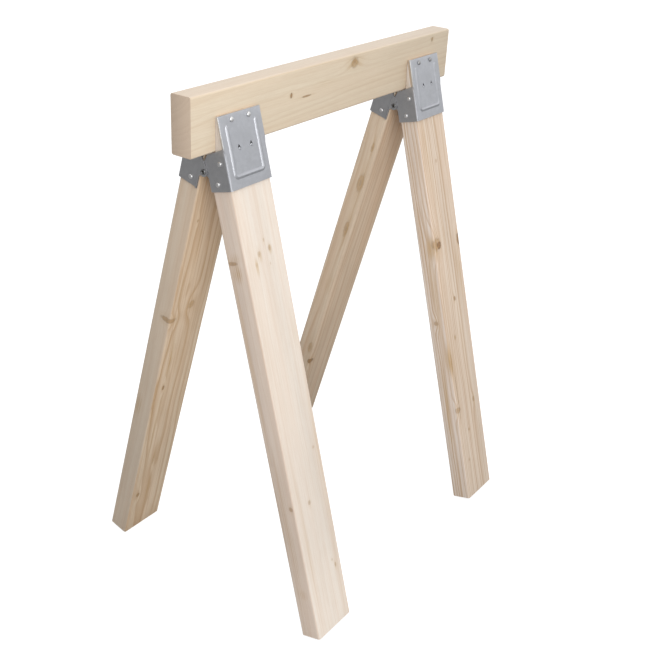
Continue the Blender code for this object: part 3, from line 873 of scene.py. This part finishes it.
def rivet_mesh():
    """A tubular rivet with a rolled head."""
    grip = 2 * SHEET + 3 * TOUCH
    tail_end = -grip - RIVET_TAIL
    tail = [(tail_end, RIVET_BORE), (tail_end, 0.8 * RIVET_HEAD), (-grip, RIVET_HEAD)]
    shank = [(-grip, RIVET_SHANK), (0, RIVET_SHANK)]
    crown, half, steps = (RIVET_HEAD + RIVET_BORE) / 2, (RIVET_HEAD - RIVET_BORE) / 2, 12
    roll = [(RIVET_ROLL * sin(t), crown + half * cos(t)) for t in [pi * i / steps for i in range(steps)]]
    return finish_mesh(turned("rivet_look", tail + shank + roll, along_z, hollow=True), 50)


# ---- Metal ----


def galvanised():
    """Zinc-coated sheet: faint spangle, cloudy sheen and scuffs, and rougher on bends. Painted shade darkens
    the bends, the flanges, tinted a little warmer, and the faces turned up the leg.
    """
    material = bpy.data.materials.new("galvanised_sheet")
    n = Nodes(material)
    coordinates = n.tree.nodes.new("ShaderNodeTexCoord")
    place = coordinates.outputs["Object"]
    cells = n.tree.nodes.new("ShaderNodeTexVoronoi")
    stray = n.vector("MULTIPLY", n.noise(place, 90.0, out=1), (0.004, 0.004, 0.004))
    n.put(cells.inputs["Vector"], n.vector("ADD", place, stray))
    cells.inputs["Scale"].default_value = 210.0
    spangle = n.add("SeparateColor", cells.outputs["Color"])
    cloud = n.noise(place, 38.0, 4.0, 0.6)
    scuff = n.noise(n.vector("MULTIPLY", place, (60.0, 900.0, 260.0)), 1.0, 3.0, 0.6)
    colour = n.mix(n.fit(spangle, 0.0, 1.0, 0.0, 0.5), rgb(0.61, 0.625, 0.665), rgb(0.69, 0.705, 0.745))
    colour = n.mix(n.fit(cloud, 0.35, 0.7, 0.0, 0.30), colour, rgb(0.54, 0.55, 0.57))
    n.set("Metallic", 1.0)
    rough = n.math("MULTIPLY_ADD", spangle, 0.07, n.fit(cloud, 0.3, 0.75, 0.36, 0.46))
    rough = n.math("MULTIPLY_ADD", scuff, 0.05, rough)
    facing_x, _, facing_z = n.split(coordinates.outputs["Normal"])
    sideways = n.math("ABSOLUTE", facing_x)
    # Painted shade: the bends are darkened, besides being made rougher.
    bent = n.fit(n.math("ABSOLUTE", n.math("SUBTRACT", sideways, 0.65)), 0.30, 0.15)
    at_bend = n.fit(n.math("ABSOLUTE", n.split(place)[0]), RIB_SPREAD + RIB_WIDTH, FLANGE_INNER)
    bent = n.math("MULTIPLY", bent, at_bend)
    colour = n.mix(bent, colour, rgb(0.72, 0.72, 0.72), blend="MULTIPLY")
    # Painted shade: the flanges, facing sideways, are a little darker and warmer.
    on_flange = n.fit(sideways, 0.90, 0.99)
    colour = n.mix(on_flange, colour, rgb(0.94, 0.92, 0.89), blend="MULTIPLY")
    # Painted shade: faces turned up the leg, such as the plate's top edge and the rib's upper sides, are
    # darker.
    shade_facing_up = n.fit(facing_z, 0.20, 0.55)
    colour = n.mix(shade_facing_up, colour, rgb(0.74, 0.74, 0.74), blend="MULTIPLY")
    n.set("Base Color", colour)
    n.set("Roughness", n.math("MULTIPLY_ADD", bent, 0.12, rough))
    n.set("Normal", n.bump(n.math("MULTIPLY_ADD", cloud, 0.6, n.math("MULTIPLY", scuff, 0.4)), 0.15, 0.0003))
    return material


def cut_steel():
    """The sheared edges of the sheet: dull and rough, with fine lines through the thickness."""
    material = bpy.data.materials.new("cut_edge")
    n = Nodes(material)
    place = n.tree.nodes.new("ShaderNodeTexCoord").outputs["Object"]
    burr = n.noise(n.vector("MULTIPLY", place, (300.0, 1500.0, 1500.0)), 1.0, 3.0, 0.6)
    n.set("Base Color", n.mix(n.fit(burr, 0.3, 0.7), rgb(0.26, 0.26, 0.27), rgb(0.36, 0.36, 0.37)))
    n.set("Metallic", 0.8)
    n.set("Roughness", n.fit(burr, 0.3, 0.7, 0.50, 0.65))
    n.set("Normal", n.bump(burr, 0.3, 0.0003))
    return material


def zinc(name, low, high, rough):
    """Zinc on nails and rivets, a little cloudy, between two brightnesses."""
    material = bpy.data.materials.new(name)
    n = Nodes(material)
    place = n.tree.nodes.new("ShaderNodeTexCoord").outputs["Object"]
    cloud = n.noise(place, 420.0, 3.0, 0.6)
    n.set("Base Color", n.mix(n.fit(cloud, 0.3, 0.7), rgb(high, high, high), rgb(low, low, low)))
    n.set("Metallic", 1.0)
    n.set("Roughness", n.fit(cloud, 0.3, 0.7, rough, rough + 0.12))
    n.set("Normal", n.bump(cloud, 0.08, 0.0002))
    return material


# ---- Pieces ----


def add_piece(node, mesh, material, matrix, body):
    """Stands a mesh in for the CAD node. The material goes only on a mesh that has none yet."""
    obj = bpy.data.objects.new(node + "_look", mesh)
    bpy.context.scene.collection.objects.link(obj)
    obj.matrix_world = matrix
    if not mesh.materials:
        mesh.materials.append(material)
    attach(obj, body)
    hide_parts(node)


def turned_to(spot, *angles):
    return Matrix.Translation(spot) @ Euler(angles).to_matrix().to_4x4()


def build_beam():
    middle = Vector((0, 0, (beam_low.z + beam_high.z) / 2))
    wood = spruce("spruce_crossbeam", **BOARDS["crossbeam"])
    add_piece("crossbeam", beam_mesh(), wood, Matrix.Translation(middle), "crossbeam")


def build_legs():
    """The four legs, each with its leaf and its nails. The plate nails of the near-right leg get a darker
    zinc, painted shade.
    """
    leg, leaf = leg_mesh(), leaf_mesh()
    steel = galvanised()
    bright, grey = zinc("zinc_head", 0.76, 0.88, 0.34), zinc("shaded_head", 0.40, 0.52, 0.42)
    # The plate's rolled sides get a brighter zinc than the sheet, a painted highlight.
    for metal in (steel, cut_steel(), zinc("rolled_rim_highlight", 0.66, 0.76, 0.42)):
        leaf.materials.append(metal)
    for face in leaf.polygons:
        face.material_index = metal_slot(face)
    plate_nail = nail_mesh("plate_nail_look", PLATE_NAIL_DEPTH)
    flange_nail = nail_mesh("nail_look", NAIL_LENGTH)
    shaded_nail = plate_nail.copy()
    for place, (side_x, side_y) in PLACES.items():
        body = f"{place}_leg"
        hinge = hinge_matrix(side_x, side_y)
        # The tooth pockets, where shade is painted onto the wood.
        shaded_pocket = [(TOOTH_U, -FACE, side * TOOTH_SPREAD) for side in (-1, 1)]
        wood = spruce(f"spruce_{place}", shaded_pocket=shaded_pocket, **BOARDS[place])
        add_piece(f"leg_{place}", leg.copy(), wood, hinge @ BOARD_TO_LEG, body)
        add_piece(f"bracket_leaf_{place}", leaf, steel, hinge, body)
        # Painted shade: the near-right plate nails take the darker zinc.
        head, coat = (shaded_nail, grey) if place == "near_right" else (plate_nail, bright)
        for side in (-1, 1):
            end = "outer" if -side * side_y == side_x else "inner"
            spot = in_leg(PLATE_NAIL_U, PLATE_OUTER + TOUCH, side * PLATE_NAIL_SPREAD)
            matrix = hinge @ turned_to(spot, pi / 2, 0, 0)
            add_piece(f"plate_nail_{place}_{end}", head, coat, matrix, body)
            for level, (u, v) in FLANGE_NAILS.items():
                node = f"flange_nail_{place}_{level}_{end}"
                spot = in_leg(u, v, side * (FLANGE_OUTER + TOUCH))
                matrix = hinge @ turned_to(spot, 0, side * pi / 2, 0)
                add_piece(node, flange_nail, bright, matrix, body)


def build_rivets():
    rivet, dull = rivet_mesh(), zinc("rivet_zinc", 0.24, 0.34, 0.42)
    away = FLANGE_OUTER + JOGGLE_STEP + TOUCH
    for side_x, hand in ((-1, "left"), (1, "right")):
        for face in (-1, 1):
            end = "outer" if face == side_x else "inner"
            spot = Vector((side_x * HINGE.x + face * away, 0, HINGE.z))
            matrix = turned_to(spot, 0, face * pi / 2, 0)
            add_piece(f"hinge_rivet_{hand}_{end}", rivet, dull, matrix, "hinge_rivets")


# ---- Stage ----

# The studio's strength towards -X and +X, and what is added overhead.
SIDE_LIGHT = 0.29
RIGHT_LIGHT = 0.90
TOP_LIGHT = 0.66
FLOOR_HALF = 30
FLOOR_GREY = 0.28
FLOOR_GLOW = 0.88
KEY_SPOT = (-1.62, -1.97, 1.5)
KEY_TARGET = (-0.1, 0, 0.6)
KEY_SIZE = (1.7, 1.8)
KEY_POWER = 40


def build_key_light():
    light = bpy.data.lights.new("key", "AREA")
    light.shape = "RECTANGLE"
    light.size, light.size_y = KEY_SIZE
    light.energy = KEY_POWER
    obj = bpy.data.objects.new("key", light)
    bpy.context.scene.collection.objects.link(obj)
    obj.location = KEY_SPOT
    obj.rotation_euler = (Vector(KEY_TARGET) - Vector(KEY_SPOT)).to_track_quat("-Z", "Y").to_euler()


def build_floor():
    """A pale floor, which the camera sees brighter than it lights the object."""
    bm = bmesh.new()
    bmesh.ops.create_grid(bm, x_segments=1, y_segments=1, size=FLOOR_HALF)
    floor = helper("floor", mesh_of("floor", bm))
    material = bpy.data.materials.new("floor_paint")
    n = Nodes(material)
    n.set("Base Color", rgb(FLOOR_GREY, FLOOR_GREY, FLOOR_GREY))
    n.set("Roughness", 0.9)
    n.set("Emission Color", rgb(1.0, 1.0, 1.0))
    lit = n.tree.nodes.new("ShaderNodeLightPath").outputs["Is Camera Ray"]
    n.set("Emission Strength", n.math("MULTIPLY", lit, FLOOR_GLOW))
    floor.data.materials.append(material)


def build_studio():
    """A soft white studio that is dimmer on the -X side and below, and white to the camera."""
    world = bpy.data.worlds.new("studio")
    bpy.context.scene.world = world
    world.use_nodes = True
    tree = world.node_tree
    background = tree.nodes["Background"]
    way = tree.nodes.new("ShaderNodeTexCoord").outputs["Generated"]
    split = tree.nodes.new("ShaderNodeSeparateXYZ")
    tree.links.new(way, split.inputs[0])
    ranges = []
    for axis, values in ((0, (-0.7, 0.9, SIDE_LIGHT, RIGHT_LIGHT)), (2, (0.3, 1.0, 0.0, TOP_LIGHT))):
        ramp = tree.nodes.new("ShaderNodeMapRange")
        ramp.interpolation_type = "SMOOTHSTEP"
        for socket, value in zip(ramp.inputs[1:5], values):
            socket.default_value = value
        tree.links.new(split.outputs[axis], ramp.inputs[0])
        ranges.append(ramp.outputs[0])
    total = tree.nodes.new("ShaderNodeMath")
    tree.links.new(ranges[0], total.inputs[0])
    tree.links.new(ranges[1], total.inputs[1])
    path = tree.nodes.new("ShaderNodeLightPath")
    seen = tree.nodes.new("ShaderNodeMix")
    tree.links.new(path.outputs["Is Camera Ray"], seen.inputs[0])
    tree.links.new(total.outputs[0], seen.inputs[2])
    seen.inputs[3].default_value = 1.0
    tree.links.new(seen.outputs[0], background.inputs["Strength"])
    background.inputs["Color"].default_value = rgb(1.0, 1.0, 1.0)


# The camera's place in metres, its turn in degrees and its lens in millimetres.
CAMERA_SPOT = (-1.379, -0.9863, 1.2748)
CAMERA_TURN = (62.806, -2.625, -53.566)
CAMERA_LENS = 57.328


def build_camera():
    camera = bpy.data.cameras.new("camera")
    camera.lens = CAMERA_LENS
    camera.sensor_width = 36
    camera.clip_start = 0.01
    obj = bpy.data.objects.new("camera", camera)
    bpy.context.scene.collection.objects.link(obj)
    obj.location = CAMERA_SPOT
    obj.rotation_euler = [radians(t) for t in CAMERA_TURN]
    bpy.context.scene.camera = obj


build_camera()
build_floor()
build_studio()
build_key_light()
build_beam()
build_legs()
build_rivets()
bpy.context.scene.view_settings.view_transform = "Standard"

bpy.context.view_layer.update()
